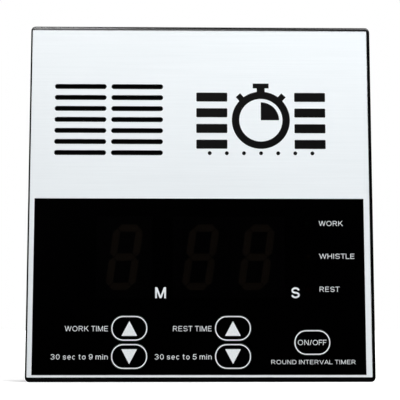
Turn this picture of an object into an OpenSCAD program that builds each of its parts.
// Wall or desk interval timer: flat square case, speaker grille, smoked display window and press keys.
// X runs to the right seen from the front, the front faces -Y, Z is up, and the case stands on Z = 0.

/* [Case] */
// Overall width
case_w = 300; // [296:1:320]
// Overall height
case_h = 311; // [310:1:330]
// Overall depth, front rim to back
case_d = 50; // [48:1:70]
// Outer radius of the upright corners
corner_r = 4; // [3:0.1:5]
// Rounding of the case's front edges
front_edge_r = 2; // [1:0.1:2.2]
// Rounding of the case's back edges
back_edge_r = 1; // [0.6:0.1:1]
// Thickness of the case walls
wall = 2.5; // [2.2:0.1:3]
// Depth of the rear cover's own side walls
cover_depth = 10; // [10:1:12]

/* [Face] */
// Width of the silver face label
label_w = 295.4; // [290:0.2:296]
// Height of the silver face label
label_h = 303.6; // [300:0.1:305]
// Radius of the label's corners
label_r = 0.8; // [0.5:0.1:2]
// Thickness of the face label
label_t = 0.5; // [0.3:0.1:0.6]
// How far the case rim stands proud of the label
rim_proud = 0.4; // [0.2:0.1:0.6]
// Sideways offset of the label from the case centre
label_x = -0.7; // [-0.8:0.1:0.8]
// Height of the label's lower edge
label_z = 4.1; // [3:0.1:4.4]
// Width of the smoked window
window_w = 286; // [284:0.2:288]
// Height of the smoked window
window_h = 151.6; // [150:0.1:153]
// Thickness of the smoked window
window_t = 2; // [1.5:0.1:2.2]
// Height of the window's lower edge
window_z = 6.1; // [5.8:0.1:7]

/* [Speaker grille] */
// Sideways place of the grille and speaker centre
grille_x = -80.6; // [-90:0.2:-78]
// Height of the grille and speaker centre
grille_z = 227.4; // [224:0.1:236]
// Length of one slot
slot_l = 45.3; // [42:0.1:45.4]
// Height of one slot
slot_h = 4.4; // [3:0.1:4.4]
// Distance from one slot to the next below it
slot_pitch = 9.8; // [9.5:0.05:9.9]
// Rows of slots
slot_rows = 7; // [5:2:7]
// Bar left between the two columns
slot_bar = 4.3; // [4:0.1:6]

/* [Display] */
// Height of one digit
digit_h = 57; // [50:1:60]
// Width of one digit before it leans
digit_w = 26; // [22:1:28]
// Stroke width of a digit
stroke = 6.4; // [5:0.2:7]
// Lean of the digits to the right, in degrees
digit_lean = 8; // [0:1:10]
// Width of one display module
module_w = 48; // [46:1:48]
// Height of one display module
module_h = 70; // [66:1:70]
// Depth of one display module
module_d = 12; // [10:1:12]
// Sideways place of the minutes digit
minutes_x = -66.1; // [-67:0.1:-65]
// Sideways place of the tens-of-seconds digit
tens_x = 0; // [-1:0.1:0]
// Sideways place of the units-of-seconds digit
units_x = 48.5; // [48.5:0.1:50]
// Height of the digits' centre
digits_z = 106.9; // [106:0.1:109]
// Sideways place of the status lamps
lamp_x = 93; // [90:1:95]
// Distance from one status lamp to the next below it
lamp_pitch = 28.5; // [26:0.1:30]

/* [Keys] */
// Width of one key
key_w = 31.8; // [30:0.1:34]
// Height of one key
key_h = 22; // [21.6:0.1:22.4]
// Corner radius of a key
key_r = 10.7; // [6:0.1:10.7]
// Gap round a key
key_gap = 0.3; // [0.25:0.05:0.4]
// How far a key stands proud of the window
key_proud = 0.3; // [0.2:0.1:0.6]
// Travel of a key
key_travel = 0.5; // [0.3:0.1:0.5]
// Sideways place of the work time keys
work_x = -61.2; // [-62:0.1:-58]
// Sideways place of the rest time keys
rest_x = 27.6; // [26:0.1:30]
// Sideways place of the on/off key
power_x = 95.7; // [95:0.1:98]
// Height of the lower keys' centre
key_low_z = 21.8; // [21:0.1:22.5]
// Distance from a lower key to the key above it
key_pitch = 23.9; // [23.8:0.1:26]
// Height of the on/off key's centre
power_z = 33.6; // [32:0.1:35]

/* [Circuit board] */
// Left edge of the board
board_x0 = -99; // [-102:1:-98]
// Right edge of the board
board_x1 = 116; // [115:1:118]
// Lower edge of the board
board_z0 = 7; // [6:1:8]
// Upper edge of the board
board_z1 = 152; // [151:1:154]
// Thickness of the board
board_t = 1.6; // [1.2:0.2:2]

/* [Speaker] */
// Side of the speaker's square flange
flange_w = 80; // [80:1:84]
// Distance from the speaker's centre to a fixing hole, across and up
flange_hole = 35.5; // [35.5:0.5:36.5]
// Excursion of the cone each way
cone_travel = 1; // [0.5:0.1:1]
// Outer radius of the magnet
magnet_r = 25; // [22:1:27]
// Thickness of the magnet
magnet_t = 8; // [6:1:9]

/* [Wall mounting] */
// Distance between the two keyholes
keyhole_spacing = 200; // [150:10:200]
// Height of the keyholes' entry circles
keyhole_z = 250; // [240:1:270]
// Radius of a keyhole's entry
keyhole_r = 4.5; // [4:0.1:5]
// Half width of a keyhole's slot
keyhole_slot = 2.25; // [2:0.05:2.5]
// Distance from the entry's centre to the slot's end centre
keyhole_rise = 9; // [8:0.5:10]

/* [Power inlet] */
// Depth position of the inlet, measured from the middle of the case
inlet_y = 0; // [-2:0.5:3]
// Height of the inlet
inlet_z = 30; // [28:1:40]
// Radius of the inlet's socket
socket_r = 2.75; // [2.5:0.05:2.8]
// Depth of the inlet's socket
socket_depth = 9.5; // [8:0.5:10]
// Radius of the inlet's centre pin
pin_r = 1.05; // [1:0.05:1.25]

/* [Hidden] */
$fn = 64;
// margin by which a cut runs past the face it opens
past = 1;

// depth stack, all along Y
front_y = -case_d / 2;
back_y = case_d / 2;
label_y = front_y + rim_proud;
wall_y0 = label_y + label_t;
wall_y1 = wall_y0 + wall;
window_back = label_y + window_t;
seat_t = 2;
seat_y = window_back + seat_t;
seat_w = case_w - 2 * wall - 3;
seat_h = window_h + 4;
seam_y = back_y - cover_depth;
cover_inner_y = back_y - wall;

// window and label centres
window_x = label_x - 0.5;
window_mid_z = window_z + window_h / 2;
label_mid_z = label_z + label_h / 2;
label_gap = 0.1;

// joint between the two case halves
lip = 1.2;
lip_h = 3;
lip_gap = 0.1;
seam_groove = 0.5;

// cross-head screws: thread hole, shank, head and the cross in it
screw_r = 1.5;
shank_r = screw_r - 0.05;
head_r = 2.8;
head_t = 2;
cross_w = 3.6;
cross_t = 0.7;
cross_depth = 1.2;
case_screw_l = 12;
board_screw_l = 7;
speaker_screw_l = 4.5;

// display modules
module_y0 = window_back + 0.3;
module_y1 = module_y0 + module_d;
module_gap = 0.3;
segment_t = 1.5;
segment_gap = 0.7;
digits_x = [minutes_x, tens_x, units_x];

// circuit board
board_y0 = module_y1;
board_y1 = board_y0 + board_t;
post_r = 3.5;
board_hole_r = screw_r + 0.2;
post_x = [-94, -16, 110];
post_z = [12, 147];

// keys and their switches: sideways place and height of each key
work_up_at = [work_x, key_low_z + key_pitch];
work_down_at = [work_x, key_low_z];
rest_up_at = [rest_x, key_low_z + key_pitch];
rest_down_at = [rest_x, key_low_z];
power_at = [power_x, power_z];
keys_at = [work_up_at, work_down_at, rest_up_at, rest_down_at, power_at];
key_skin = 1.5;
key_edge_r = 0.4;
key_y0 = label_y - key_proud;
ear_y0 = seat_y + 0.3;
key_y1 = ear_y0 + 1.2;
ear_w = key_w + 6;
ear_h = 14;
stem_r = 2.4;
switch_w = 6;
switch_t = 3.5;
switch_height = 7;
plunger_r = 1.7;
plunger_gap = 0.1;
plunger_depth = 1;
recess_depth = plunger_depth + key_travel + 0.4;
stem_tip_y = board_y0 - switch_height;

// status lamps
lamp_r = 2.5;
lamp_l = 8.6;
lamp_flange_r = 2.9;
lamp_flange_t = 1;
lamp_gap = 0.2;
lamp_base_y = window_back + lamp_gap + lamp_l;
lamps_z = [digits_z + lamp_pitch, digits_z, digits_z - lamp_pitch];

// speaker, measured back from its flange's front face
speaker_post_l = 4;
speaker_post_r = 3.2;
speaker_y = wall_y1 + speaker_post_l;
cloth_w = 98;
cloth_h = 64;
cloth_t = 0.3;
gasket_r = 34.5;
gasket_w = 3.5;
flange_t = 1.2;
flange_hole_r = 1.7;
basket_depth = 17;
basket_sheet = 1;
basket_window_depth = 4;
basket_window_h = 7;
basket_window_w = 18;
plate_t = 3;
plate_r = 22;
pole_r = 9;
gap_r = 10.7;
basket_bore_r = gap_r + 0.5;
magnet_bore_r = 13;
magnet_y = basket_depth + plate_t;
yoke_y = magnet_y + magnet_t;
basket_r = 33;
ledge_r = 27.8;
ledge_depth = 13;
seat_r = 23.6;
// cone with its dust cap, voice coil, surround and spider
cone_r = 28;
cone_t = 0.6;
cone_depth = 8;
coil_r = 9.9;
wire_t = 0.3;
former_depth = cone_depth - 0.2;
winding_depth = 15;
winding_l = 6;
neck_r = coil_r + 0.05;
cap_r = 11.5;
cap_depth = 7.25;
cap_t = 0.55;
cap_arc = 75;
cap_rise = 4;
skin_t = 0.6;
skin_lap = 1.4;
roll_mid_r = 30.5;
roll_r = cone_travel + 1.8;
spider_t = 0.4;
spider_wave = [[neck_r, 12.2], [13, 13.2], [16, 12.2], [19, 13.2], [21.5, 12.2], [23.5, 12.6], [27, 12.6]];

// case screws: sideways place and height of each post
case_post_r = 5;
case_post_inset = wall + 4.2;
case_post_x = case_w / 2 - case_post_inset;
case_post_z = [case_post_inset, case_h / 2, case_h - case_post_inset];
case_posts = [for (x = [-case_post_x, case_post_x], z = case_post_z) [x, z]];
case_post_y = seam_y - 0.5;
case_hole_r = 1.7;
well_r = 3.4;
well_floor = 2.5;

// power inlet, along X
inlet_flange_r = 7;
inlet_flange_t = 1.1;
inlet_body_r = 5.5;
inlet_hole_gap = 0.1;
inlet_pad_r = 10.5;
inlet_pad_t = 1;
inlet_face_x = case_w / 2 - 0.1;
inlet_length = 14;
inlet_rear_x = inlet_face_x - inlet_length;
nut_t = 2.2;
nut_x = case_w / 2 - wall - inlet_pad_t;
pin_root_r = 0.8;
pin_root_l = 2;
pin_below_face = 0.5;
tag_l = 4;
tag_w = 2;
tag_thin = 0.3;
tag_z = 2.6;
nut_r = 8;

// vent slots in the rear cover
vent_x = 60;
vent_z = 90;
vent_l = 44;
vent_h = 3;
vent_pitch = 8;
vents = 7;

// parts on the back of the board: sideways place and height of each, and their sizes
controller_at = [8, 108];
amplifier_at = [-70, 112];
chip_lift = 0.5;
chip_t = 3.4;
leg_pitch = 2.54;
leg_w = 0.5;
leg_t = 0.6;
leg_l = 2.2;
crystal_at = [8, 92];
crystal_w = 11;
crystal_t = 4.6;
crystal_l = 3.5;
regulator_at = [84, 110];
regulator_w = 10;
regulator_t = 4.5;
regulator_h = 9;
regulator_lift = 4;
heatsink_w = 24;
heatsink_t = 10;
heatsink_h = 20;
fins = 5;
fin_t = 1.5;
drivers_at = [-40, 72];
drivers = 7;
driver_pitch = 8;
driver_r = 2.3;
driver_h = 5;
driver_lift = 2;
resistors_at = [-42, 128];
resistor_count = 8;
resistor_pitch = 5;
resistor_l = 6.5;
resistor_r = 1.2;
// capacitors: sideways place, height, radius and length of each
capacitors_at = [[-84, 92, 5, 12], [-66, 90, 4, 11], [84, 84, 6.3, 20], [66, 60, 5, 12]];

// connectors on the back of the board: sideways place and height
speaker_plug_at = [-70, 138];
power_plug_at = [98, 52];
plug_w = 8;
plug_h = 6;
plug_d = 8;
pole_pitch = 2.5;
lead_r = 0.8;
plug_back_y = board_y1 + plug_d;

// speaker terminal strip
strip_top_z = grille_z - 31.9;
strip_y = speaker_y + 8;
strip_w = 16;
strip_h = 7;
strip_t = 1.6;
solder_tag_w = 2.4;
solder_tag_h = 5;
tag_gap = 8;
tag_t = 0.4;
tag_y = strip_y + (strip_t + tag_t) / 2;
tag_end_z = strip_top_z - 8;

// routes of the leads: round points from the part that feeds them to the board connector
speaker_red_route = [
    [grille_x - tag_gap / 2, tag_y, tag_end_z],
    [grille_x - tag_gap / 2, tag_y, tag_end_z - 2],
    [-85, -7, 182], [-85, -5, 178], [-85, -1, 174], [-84, 3, 169],
    [-82, 7, 164], [-79, 10, 159], [-76, 11, 154], [-74, 11, 149],
    [-72, 10, 145], [-71.4, 7, 141], [-71.25, 4, 138.5],
    [speaker_plug_at[0] - pole_pitch / 2, plug_back_y + 2, speaker_plug_at[1]],
    [speaker_plug_at[0] - pole_pitch / 2, plug_back_y, speaker_plug_at[1]]
];
speaker_black_route = [
    [grille_x + tag_gap / 2, tag_y, tag_end_z],
    [grille_x + tag_gap / 2, tag_y, tag_end_z - 2],
    [-76, -7, 182], [-75, -5, 178], [-74, -1, 174], [-73, 3, 169],
    [-72, 7, 164], [-71, 9, 159], [-70, 11, 154], [-69, 11, 149],
    [-68.6, 10, 145], [-68.7, 7, 141], [-68.75, 4, 138.5],
    [speaker_plug_at[0] + pole_pitch / 2, plug_back_y + 2, speaker_plug_at[1]],
    [speaker_plug_at[0] + pole_pitch / 2, plug_back_y, speaker_plug_at[1]]
];
power_red_route = [
    [inlet_rear_x - tag_l, inlet_y, inlet_z + tag_z],
    [inlet_rear_x - tag_l - 2, inlet_y, inlet_z + tag_z],
    [126, 1.5, 33.5], [122, 4, 36], [118, 7, 39.5], [114, 9, 43.5],
    [110, 10.5, 47.5], [106, 10.5, 50.5], [102, 8.5, 52], [99.8, 5, 52.2],
    [power_plug_at[0] + pole_pitch / 2, plug_back_y + 2, power_plug_at[1]],
    [power_plug_at[0] + pole_pitch / 2, plug_back_y, power_plug_at[1]]
];
power_black_route = [
    [inlet_rear_x - tag_l, inlet_y, inlet_z - tag_z],
    [inlet_rear_x - tag_l - 2, inlet_y, inlet_z - tag_z],
    [126, 0.5, 27], [121, 2.5, 28], [116, 5.5, 31], [111, 8.5, 35.5],
    [106, 10.5, 41], [101, 10.5, 46], [98, 8.5, 50], [96.9, 5, 51.8],
    [power_plug_at[0] - pole_pitch / 2, plug_back_y + 2, power_plug_at[1]],
    [power_plug_at[0] - pole_pitch / 2, plug_back_y, power_plug_at[1]]
];

// ---- shared shapes -------------------------------------------------------------------------

// a flat outline drawn across X and Z, made solid from y0 back to y1
module slab(y0, y1)
    translate([0, y1, 0])
        rotate([90, 0, 0])
            linear_extrude(y1 - y0)
                children();

// a round bar along Y
module rod(x, z, y0, y1, r)
    translate([x, y1, z])
        rotate([90, 0, 0])
            cylinder(h = y1 - y0, r = r);

// a rectangle with round corners, centred
module rounded(w, h, r) {
    square([w - 2 * r, h], center = true);
    square([w, h - 2 * r], center = true);
    for (x = [-1, 1], z = [-1, 1])
        translate([x * (w / 2 - r), z * (h / 2 - r)])
            circle(r);
}

// what lies outside a quarter circle of radius e, to cut an edge round
module edge_cut(e)
    difference() {
        square(e + past);
        circle(e);
    }

// a block with round upright corners of radius r whose front edges are rounded by e
module soft_block(w, h, r, y0, y1, e)
    translate([0, y1, 0])
        rotate([90, 0, 0])
            difference() {
                linear_extrude(y1 - y0) rounded(w, h, r);
                for (side = [0, 1])
                    mirror([0, side, 0])
                        translate([r - w / 2, h / 2 - e, y1 - y0 - e])
                            rotate([90, 0, 90])
                                linear_extrude(w - 2 * r) edge_cut(e);
                for (side = [0, 1])
                    mirror([side, 0, 0])
                        translate([w / 2 - e, h / 2 - r, y1 - y0 - e])
                            rotate([90, 0, 0])
                                linear_extrude(h - 2 * r) edge_cut(e);
                for (across = [0, 1], up = [0, 1])
                    mirror([across, 0, 0])
                        mirror([0, up, 0])
                            translate([w / 2 - r, h / 2 - r, y1 - y0 - e])
                                rotate_extrude(angle = 90)
                                    translate([r - e, 0])
                                        edge_cut(e);
            }

// outline of the case, grown or shrunk by inset
module case_outline(inset) {
    r = corner_r - inset;
    translate([0, case_h / 2])
        if (r > 0)
            rounded(case_w - 2 * inset, case_h - 2 * inset, r);
        else
            square([case_w - 2 * inset, case_h - 2 * inset], center = true);
}

// outline of one key, grown by extra
module key_outline(extra)
    rounded(key_w + 2 * extra, key_h + 2 * extra, key_r + extra);

// all the speaker slots
module slots()
    for (side = [-1, 1], row = [0 : slot_rows - 1])
        translate([
            grille_x + side * (slot_bar + slot_l) / 2,
            grille_z + (row - (slot_rows - 1) / 2) * slot_pitch
        ])
            rounded(slot_l, slot_h, slot_h / 2 - 0.01);

// outline turned about the speaker's axis: first coordinate is radius, second is distance back
module turned_about_speaker()
    translate([grille_x, speaker_y, grille_z])
        rotate([-90, 0, 0])
            rotate_extrude()
                children();

// a cross-head screw along Y: its head stands back from y, its shank reaches forward of it
module screw(x, z, y, length)
    difference() {
        union() {
            rod(x, z, y, y + head_t, head_r);
            rod(x, z, y - length, y, shank_r);
        }
        for (turn = [0, 90])
            translate([x, y + head_t, z])
                rotate([0, turn, 0])
                    cube([cross_w, 2 * cross_depth, cross_t], center = true);
    }

// unit vector along v
function unit(v) = v / norm(v);
// direction of a route at point i
function heading(route, i) =
    unit(route[min(i + 1, len(route) - 1)] - route[max(i - 1, 0)]);
// ring of points round a route's point i
function ring(route, i, r, sides) =
    let (
        ahead = heading(route, i),
        across = unit(cross(ahead, abs(ahead[0]) < 0.7 ? [1, 0, 0] : [0, 0, 1])),
        up = cross(ahead, across)
    )
    [for (k = [0 : sides - 1]) route[i] + r * (cos(360 * k / sides) * across + sin(360 * k / sides) * up)];

// a lead of round section swept along a route, closed at both ends
module lead(route, r) {
    sides = 8;
    rings = len(route);
    points = [for (i = [0 : rings - 1]) each ring(route, i, r, sides)];
    walls = [
        for (i = [0 : rings - 2], k = [0 : sides - 1])
            let (a = i * sides + k, b = i * sides + (k + 1) % sides)
                each [[a, a + sides, b], [b, a + sides, b + sides]]
    ];
    first = [for (k = [0 : sides - 1]) k];
    last = [for (k = [0 : sides - 1]) (rings - 1) * sides + sides - 1 - k];
    polyhedron(points = points, faces = concat(walls, [first, last]));
}

// ---- case ----------------------------------------------------------------------------------

// openings in the front wall for display modules, lamps, keys and speaker slots
module front_wall_cuts() {
    for (x = digits_x)
        translate([x, digits_z])
            square([module_w + 2 * module_gap, module_h + 2 * module_gap], center = true);
    for (z = lamps_z)
        translate([lamp_x, z])
            circle(lamp_flange_r + lamp_gap);
    for (at = keys_at)
        translate(at)
            key_outline(key_gap);
    slots();
}

module front_housing() {
    color([0.03, 0.03, 0.03])
        difference() {
            union() {
                difference() {
                    translate([0, 0, case_h / 2])
                        soft_block(case_w, case_h, corner_r, front_y, seam_y, front_edge_r);
                    slab(wall_y1, seam_y + past) case_outline(wall);
                }
                // thicker seat behind the window
                slab(wall_y1 - past, seat_y)
                    translate([window_x, window_mid_z])
                        square([seat_w, seat_h], center = true);
                // posts for the rear cover's screws
                for (at = case_posts)
                    rod(at[0], at[1], wall_y1 - past, case_post_y, case_post_r);
                // posts for the circuit board
                for (x = post_x, z = post_z)
                    rod(x, z, seat_y - past, board_y0, post_r);
                // posts for the speaker
                for (x = [-1, 1], z = [-1, 1])
                    rod(grille_x + x * flange_hole, grille_z + z * flange_hole, wall_y1 - past, speaker_y,
                        speaker_post_r);
                // thicker pad round the power inlet
                translate([nut_x, inlet_y, inlet_z])
                    rotate([0, 90, 0])
                        cylinder(h = inlet_pad_t + past, r = inlet_pad_r);
            }
            // recess for the label
            slab(front_y - past, wall_y0)
                translate([label_x, label_mid_z])
                    rounded(label_w + 2 * label_gap, label_h + 2 * label_gap, label_r + label_gap);
            // deeper recess for the window
            slab(front_y - past, window_back)
                translate([window_x, window_mid_z])
                    square([window_w + 2 * label_gap, window_h + 2 * label_gap], center = true);
            slab(front_y - past, seat_y + past) front_wall_cuts();
            // step for the rear cover's lip
            slab(seam_y - lip_h, seam_y + past)
                difference() {
                    case_outline(wall - lip - lip_gap);
                    case_outline(wall);
                }
            // fine groove round the outside of the seam
            slab(seam_y - seam_groove, seam_y + past)
                difference() {
                    case_outline(-past);
                    case_outline(seam_groove);
                }
            // screw holes
            for (at = case_posts)
                rod(at[0], at[1], case_post_y - case_screw_l, case_post_y + past, screw_r);
            for (x = post_x, z = post_z)
                rod(x, z, board_y0 - board_screw_l, board_y0 + past, screw_r);
            for (x = [-1, 1], z = [-1, 1])
                rod(grille_x + x * flange_hole, grille_z + z * flange_hole, speaker_y - speaker_screw_l,
                    speaker_y + past, screw_r);
            // inlet hole with a step for its flange
            translate([nut_x - past, inlet_y, inlet_z])
                rotate([0, 90, 0])
                    cylinder(h = wall + inlet_pad_t + 2 * past, r = inlet_body_r + inlet_hole_gap);
            translate([case_w / 2 - inlet_flange_t - 0.1, inlet_y, inlet_z])
                rotate([0, 90, 0])
                    cylinder(h = wall, r = inlet_flange_r + inlet_hole_gap);
        }
}

// outline of one keyhole about its entry's centre
module keyhole() {
    circle(keyhole_r);
    translate([-keyhole_slot, 0])
        square([2 * keyhole_slot, keyhole_rise]);
    translate([0, keyhole_rise])
        circle(keyhole_slot);
}

module rear_cover() {
    color([0.04, 0.04, 0.04])
        difference() {
            union() {
                difference() {
                    translate([0, 0, case_h / 2])
                        mirror([0, 1, 0])
                            soft_block(case_w, case_h, corner_r, -back_y, -seam_y, back_edge_r);
                    slab(seam_y - past, cover_inner_y) case_outline(wall);
                }
                // lip that fits inside the front housing
                slab(seam_y - lip_h + lip_gap, seam_y + past)
                    difference() {
                        case_outline(wall - lip + lip_gap / 2);
                        case_outline(wall - lip_gap);
                    }
                // wells for the case screws
                intersection() {
                    for (at = case_posts)
                        rod(at[0], at[1], case_post_y, cover_inner_y + past, case_post_r);
                    slab(case_post_y, back_y) case_outline(wall - lip_gap);
                }
            }
            for (at = case_posts) {
                rod(at[0], at[1], case_post_y - past, back_y + past, case_hole_r);
                rod(at[0], at[1], case_post_y + well_floor, back_y + past, well_r);
            }
            slab(cover_inner_y - past, back_y + past) {
                for (x = [-1, 1])
                    translate([x * keyhole_spacing / 2, keyhole_z])
                        keyhole();
                for (row = [0 : vents - 1], side = [-1, 1])
                    translate([side * vent_x, vent_z + row * vent_pitch])
                        rounded(vent_l, vent_h, vent_h / 2 - 0.01);
            }
        }
}

module face_label() {
    color([0.88, 0.91, 0.93])
        slab(label_y, wall_y0)
            difference() {
                translate([label_x, label_mid_z])
                    rounded(label_w, label_h, label_r);
                translate([window_x, window_mid_z])
                    square([window_w + 2 * label_gap, window_h + 2 * label_gap], center = true);
                slots();
            }
}

module smoked_window() {
    color([0.02, 0.02, 0.02])
        slab(label_y, window_back)
            difference() {
                translate([window_x, window_mid_z])
                    square([window_w, window_h], center = true);
                for (at = keys_at)
                    translate(at)
                        key_outline(key_gap);
            }
}

module case_screws() {
    color([0.2, 0.2, 0.2])
        for (at = case_posts)
            screw(at[0], at[1], case_post_y + well_floor, case_screw_l);
}

// ---- keys ----------------------------------------------------------------------------------

// one key: a hollow cap with two retaining ears and a stem that presses its switch
module key(at) {
    color([0.02, 0.02, 0.02]) {
        difference() {
            union() {
                translate([at[0], 0, at[1]])
                    soft_block(key_w, key_h, key_r, key_y0, key_y1, key_edge_r);
                slab(ear_y0, key_y1)
                    translate(at)
                        square([ear_w, ear_h], center = true);
            }
            slab(key_y0 + key_skin, key_y1 + past)
                translate(at)
                    key_outline(-key_skin);
        }
        rod(at[0], at[1], key_y0 + key_skin - 0.5, stem_tip_y, stem_r);
    }
}

module work_up_key() key(work_up_at);
module work_down_key() key(work_down_at);
module rest_up_key() key(rest_up_at);
module rest_down_key() key(rest_down_at);
module power_key() key(power_at);

// one switch plunger, from the key's stem into the switch body
module plunger(at)
    color([0.55, 0.1, 0.08])
        rod(at[0], at[1], stem_tip_y, board_y0 - switch_t + plunger_depth, plunger_r);

module work_up_plunger() plunger(work_up_at);
module work_down_plunger() plunger(work_down_at);
module rest_up_plunger() plunger(rest_up_at);
module rest_down_plunger() plunger(rest_down_at);
module power_plunger() plunger(power_at);

module switch_bodies()
    color([0.12, 0.12, 0.13])
        for (at = keys_at)
            difference() {
                slab(board_y0 - switch_t, board_y0)
                    translate(at)
                        square(switch_w, center = true);
                rod(at[0], at[1], board_y0 - switch_t - past, board_y0 - switch_t + recess_depth,
                    plunger_r + plunger_gap);
            }

// ---- display -------------------------------------------------------------------------------

// a point of a digit, leant to the right by its height above the digit's centre
function leant(p) = [p[0] + p[1] * tan(digit_lean), p[1]];

// one bar of a digit about its own middle: length l along, stroke wide, with pointed ends
function bar(l) = [
    [-l / 2, 0], [-l / 2 + stroke / 2, stroke / 2], [l / 2 - stroke / 2, stroke / 2],
    [l / 2, 0], [l / 2 - stroke / 2, -stroke / 2], [-l / 2 + stroke / 2, -stroke / 2]
];
// the same bar standing upright
function upright(points) = [for (p = points) [-p[1], p[0]]];

// outlines of the seven bars of one digit
module digit_bars() {
    half_w = (digit_w - stroke) / 2;
    half_h = (digit_h - stroke) / 2;
    across = 2 * half_w - segment_gap;
    rise = half_h - segment_gap;
    for (z = [-half_h, 0, half_h])
        polygon([for (p = bar(across)) leant(p + [0, z])]);
    for (x = [-half_w, half_w], z = [-half_h / 2, half_h / 2])
        polygon([for (p = upright(bar(rise))) leant(p + [x, z])]);
}

// one display module: a block with a pocket for each bar of the digit
module display(x)
    color([0.16, 0.15, 0.15])
        difference() {
            slab(module_y0, module_y1)
                translate([x, digits_z])
                    square([module_w, module_h], center = true);
            slab(module_y0 - past, module_y0 + segment_t)
                translate([x, digits_z])
                    digit_bars();
        }

// the seven light windows of one display module
module segments(x)
    color([0.36, 0.27, 0.2])
        slab(module_y0, module_y0 + segment_t)
            translate([x, digits_z])
                digit_bars();

module minutes_display() display(minutes_x);
module tens_display() display(tens_x);
module units_display() display(units_x);
module minutes_segments() segments(minutes_x);
module tens_segments() segments(tens_x);
module units_segments() segments(units_x);

// one round lamp: flange, barrel and domed tip
module lamp(z, tint)
    color(tint)
        translate([lamp_x, lamp_base_y, z])
            rotate([90, 0, 0])
                union() {
                    cylinder(h = lamp_flange_t, r = lamp_flange_r);
                    cylinder(h = lamp_l - lamp_r, r = lamp_r);
                    translate([0, 0, lamp_l - lamp_r])
                        sphere(r = lamp_r);
                }

module work_lamp() lamp(lamps_z[0], [0.5, 0.75, 0.5]);
module whistle_lamp() lamp(lamps_z[1], [0.8, 0.65, 0.4]);
module rest_lamp() lamp(lamps_z[2], [0.75, 0.4, 0.4]);

module lamp_spacers()
    color([0.1, 0.1, 0.1])
        for (z = lamps_z)
            rod(lamp_x, z, lamp_base_y, board_y0, lamp_flange_r);

// ---- circuit board -------------------------------------------------------------------------

module main_board()
    color([0.1, 0.35, 0.18])
        slab(board_y0, board_y1)
            difference() {
                translate([board_x0, board_z0])
                    square([board_x1 - board_x0, board_z1 - board_z0]);
                for (x = post_x, z = post_z)
                    translate([x, z])
                        circle(board_hole_r);
            }

module board_screws()
    color([0.7, 0.7, 0.72])
        for (x = post_x, z = post_z)
            screw(x, z, board_y1, board_screw_l);

// a chip with two rows of legs, its middle at a place on the board
module chip(at, w, h, legs) {
    slab(board_y1 + chip_lift, board_y1 + chip_lift + chip_t)
        translate(at)
            square([w, h], center = true);
    for (leg = [0 : legs - 1], side = [-1, 1])
        translate([at[0] + (leg - (legs - 1) / 2) * leg_pitch, board_y1 + leg_l / 2, at[1] + side * h / 2])
            cube([leg_w, leg_l, 2 * leg_t], center = true);
}

module controller_chip()
    color([0.08, 0.08, 0.08])
        chip(controller_at, 36, 13, 14);

module amplifier_chip()
    color([0.08, 0.08, 0.08])
        chip(amplifier_at, 10, 6.4, 4);

module crystal()
    color([0.75, 0.75, 0.75])
        slab(board_y1, board_y1 + crystal_l)
            translate(crystal_at)
                rounded(crystal_w, crystal_t, 2.2);

module capacitors()
    color([0.1, 0.12, 0.3])
        for (c = capacitors_at)
            rod(c[0], c[1], board_y1, board_y1 + c[3], c[2]);

// power transistor shape standing on three legs, its metal side against the heatsink
module voltage_regulator()
    color([0.08, 0.08, 0.08]) {
        slab(board_y1 + regulator_lift, board_y1 + regulator_lift + regulator_h)
            translate(regulator_at)
                square([regulator_w, regulator_t], center = true);
        for (leg = [-1, 0, 1])
            translate([regulator_at[0] + leg * leg_pitch, board_y1 + regulator_lift / 2, regulator_at[1]])
                cube([leg_w, regulator_lift, leg_t], center = true);
    }

// finned block that the regulator is fixed to
module heatsink()
    color([0.7, 0.7, 0.72])
        translate([regulator_at[0], 0, regulator_at[1] + regulator_t / 2])
            slab(board_y1, board_y1 + heatsink_h) {
                translate([-heatsink_w / 2, 0])
                    square([heatsink_w, fin_t * 2]);
                for (fin = [0 : fins - 1])
                    translate([(fin / (fins - 1) - 0.5) * (heatsink_w - fin_t) - fin_t / 2, 0])
                        square([fin_t, heatsink_t]);
            }

// digit driver transistors, a row of small packages with one flat side, each on three legs
module driver_transistors()
    color([0.08, 0.08, 0.08])
        for (i = [0 : drivers - 1])
            translate([drivers_at[0] + i * driver_pitch, 0, drivers_at[1]]) {
                slab(board_y1 + driver_lift, board_y1 + driver_lift + driver_h)
                    intersection() {
                        circle(driver_r);
                        translate([-driver_r, -driver_r / 2])
                            square(2 * driver_r);
                    }
                for (leg = [-1, 0, 1])
                    translate([leg * leg_pitch / 2, board_y1 + driver_lift / 2, 0])
                        cube([leg_w, driver_lift, leg_w], center = true);
            }

// a row of small resistors with their leads, lying on the board
module resistors()
    color([0.76, 0.66, 0.5])
        for (i = [0 : resistor_count - 1])
            translate([resistors_at[0] + i * resistor_pitch, board_y1 + resistor_r, resistors_at[1]])
                union() {
                    cylinder(h = resistor_l, r = resistor_r, center = true);
                    cylinder(h = resistor_l + 4, r = resistor_r / 3, center = true);
                }

// plug-in connectors for the speaker and power leads
module board_connectors()
    color([0.9, 0.88, 0.8])
        for (at = [speaker_plug_at, power_plug_at])
            slab(board_y1, plug_back_y)
                translate(at)
                    square([plug_w, plug_h], center = true);

// ---- power inlet ---------------------------------------------------------------------------

// a round bar along X at the inlet's place
module inlet_rod(x0, x1, r)
    translate([x0, inlet_y, inlet_z])
        rotate([0, 90, 0])
            cylinder(h = x1 - x0, r = r);

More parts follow.
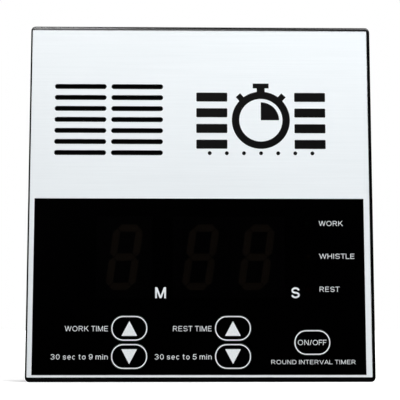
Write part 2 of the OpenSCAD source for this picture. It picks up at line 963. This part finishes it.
module inlet_body()
    color([0.06, 0.06, 0.06]) {
        difference() {
            union() {
                inlet_rod(inlet_face_x - inlet_flange_t, inlet_face_x, inlet_flange_r);
                inlet_rod(inlet_rear_x, inlet_face_x - 0.2, inlet_body_r);
            }
            inlet_rod(inlet_face_x - socket_depth, inlet_face_x + past, socket_r);
            inlet_rod(inlet_face_x - socket_depth - pin_root_l, inlet_face_x, pin_root_r);
        }
        for (side = [-1, 1])
            translate([inlet_rear_x - tag_l / 2, inlet_y, inlet_z + side * tag_z])
                cube([tag_l, tag_w, 2 * tag_thin], center = true);
    }

module inlet_pin()
    color([0.8, 0.78, 0.7])
        union() {
            inlet_rod(inlet_face_x - socket_depth - pin_root_l, inlet_face_x - socket_depth, pin_root_r);
            inlet_rod(inlet_face_x - socket_depth, inlet_face_x - pin_below_face, pin_r);
        }

module inlet_nut()
    color([0.75, 0.75, 0.75])
        difference() {
            translate([nut_x - nut_t, inlet_y, inlet_z])
                rotate([0, 90, 0])
                    cylinder(h = nut_t, r = nut_r, $fn = 6);
            inlet_rod(nut_x - nut_t - past, nut_x + past, inlet_body_r + 0.02);
        }

module power_lead_red() color([0.7, 0.05, 0.05]) lead(power_red_route, lead_r);
module power_lead_black() color([0.05, 0.05, 0.05]) lead(power_black_route, lead_r);

// ---- speaker -------------------------------------------------------------------------------

module speaker_cloth()
    color([0.03, 0.03, 0.03])
        slab(wall_y1, wall_y1 + cloth_t)
            translate([grille_x, grille_z])
                square([cloth_w, cloth_h], center = true);

module speaker_gasket()
    color([0.1, 0.1, 0.1])
        turned_about_speaker()
            translate([gasket_r, cloth_t - speaker_post_l])
                square([gasket_w, speaker_post_l - cloth_t]);

// pressed basket: square flange, sloping bowl with four windows, ledge for the spider, seat for the magnet
module speaker_frame()
    color([0.1, 0.1, 0.11])
        difference() {
            union() {
                slab(speaker_y, speaker_y + flange_t)
                    translate([grille_x, grille_z])
                        difference() {
                            rounded(flange_w, flange_w, 4);
                            circle(basket_r);
                            for (x = [-1, 1], z = [-1, 1])
                                translate([x * flange_hole, z * flange_hole])
                                    circle(flange_hole_r);
                        }
                turned_about_speaker()
                    polygon([
                        [basket_r, flange_t / 2], [basket_r + 2, flange_t / 2],
                        [ledge_r + 0.8, ledge_depth + basket_sheet],
                        [seat_r + basket_sheet, ledge_depth + basket_sheet],
                        [seat_r + basket_sheet, basket_depth], [basket_bore_r, basket_depth],
                        [basket_bore_r, basket_depth - basket_sheet], [seat_r, basket_depth - basket_sheet],
                        [seat_r, ledge_depth], [ledge_r, ledge_depth]
                    ]);
            }
            for (turn = [45 : 90 : 315])
                translate([grille_x, speaker_y, grille_z])
                    rotate([0, turn, 0])
                        translate([0, basket_window_depth, -basket_window_w / 2])
                            cube([flange_w / 2, basket_window_h, basket_window_w]);
        }

module speaker_screws()
    color([0.7, 0.7, 0.72])
        for (x = [-1, 1], z = [-1, 1])
            screw(grille_x + x * flange_hole, grille_z + z * flange_hole, speaker_y + flange_t,
                speaker_screw_l);

module speaker_top_plate()
    color([0.7, 0.7, 0.72])
        turned_about_speaker()
            translate([gap_r, basket_depth])
                square([plate_r - gap_r, plate_t]);

module speaker_magnet()
    color([0.2, 0.2, 0.2])
        turned_about_speaker()
            translate([magnet_bore_r, magnet_y])
                square([magnet_r - magnet_bore_r, magnet_t]);

module speaker_yoke()
    color([0.7, 0.7, 0.72])
        turned_about_speaker()
            polygon([
                [0, basket_depth], [pole_r, basket_depth], [pole_r, yoke_y], [plate_r, yoke_y],
                [plate_r, yoke_y + plate_t], [0, yoke_y + plate_t]
            ]);

module speaker_cone()
    color([0.06, 0.06, 0.06])
        turned_about_speaker()
            polygon([[cone_r, 0], [cone_r, cone_t], [neck_r, cone_depth + cone_t], [neck_r, cone_depth]]);

// a point of the dust cap's arc at angle a from its middle, its edge at the given depth
function cap_point(a, depth) = [cap_r * sin(a) / sin(cap_arc), depth - cap_rise * (cos(a) - cos(cap_arc))];

module speaker_dust_cap()
    color([0.05, 0.05, 0.05])
        turned_about_speaker()
            polygon([
                for (a = [0 : 15 : cap_arc]) cap_point(a, cap_depth - cap_t),
                for (a = [cap_arc : -15 : 0]) cap_point(a, cap_depth)
            ]);

module speaker_surround()
    color([0.08, 0.08, 0.08])
        turned_about_speaker()
            difference() {
                union() {
                    translate([roll_mid_r, 0])
                        circle(roll_r);
                    translate([cone_r - skin_lap, -skin_t])
                        square([basket_r - cone_r + 2 * skin_lap, skin_t]);
                }
                translate([roll_mid_r, 0])
                    circle(roll_r - skin_t);
                translate([roll_mid_r - 2 * roll_r, 0])
                    square(4 * roll_r);
            }

module speaker_spider()
    color([0.55, 0.45, 0.25])
        turned_about_speaker()
            polygon(concat(
                spider_wave,
                [for (i = [len(spider_wave) - 1 : -1 : 0]) spider_wave[i] + [0, spider_t]]
            ));

module speaker_voice_coil()
    color([0.7, 0.4, 0.2])
        turned_about_speaker()
            polygon([
                [coil_r - wire_t, former_depth], [coil_r, former_depth],
                [coil_r, winding_depth], [coil_r + wire_t, winding_depth],
                [coil_r + wire_t, winding_depth + winding_l], [coil_r, winding_depth + winding_l],
                [coil_r, winding_depth + winding_l + 1], [coil_r - wire_t, winding_depth + winding_l + 1]
            ]);

// small board with two solder tags, fixed to the lower side of the basket
module speaker_terminals()
    color([0.5, 0.35, 0.2]) {
        translate([grille_x, strip_y, strip_top_z - strip_h / 2])
            cube([strip_w, strip_t, strip_h], center = true);
        for (side = [-1, 1])
            translate([grille_x + side * tag_gap / 2, tag_y, tag_end_z + solder_tag_h / 2])
                cube([solder_tag_w, tag_t, solder_tag_h], center = true);
    }

module speaker_lead_red() color([0.7, 0.05, 0.05]) lead(speaker_red_route, lead_r);
module speaker_lead_black() color([0.05, 0.05, 0.05]) lead(speaker_black_route, lead_r);

// ---- drawing -------------------------------------------------------------------------------

front_housing();
rear_cover();
face_label();
smoked_window();
case_screws();
work_up_key();
work_down_key();
rest_up_key();
rest_down_key();
power_key();
work_up_plunger();
work_down_plunger();
rest_up_plunger();
rest_down_plunger();
power_plunger();
switch_bodies();
main_board();
board_screws();
minutes_display();
tens_display();
units_display();
minutes_segments();
tens_segments();
units_segments();
work_lamp();
whistle_lamp();
rest_lamp();
lamp_spacers();
controller_chip();
crystal();
capacitors();
voltage_regulator();
heatsink();
amplifier_chip();
driver_transistors();
resistors();
board_connectors();
inlet_body();
inlet_pin();
inlet_nut();
power_lead_red();
power_lead_black();
speaker_cloth();
speaker_gasket();
speaker_frame();
speaker_screws();
speaker_top_plate();
speaker_magnet();
speaker_yoke();
speaker_cone();
speaker_dust_cap();
speaker_surround();
speaker_spider();
speaker_voice_coil();
speaker_terminals();
speaker_lead_red();
speaker_lead_black();
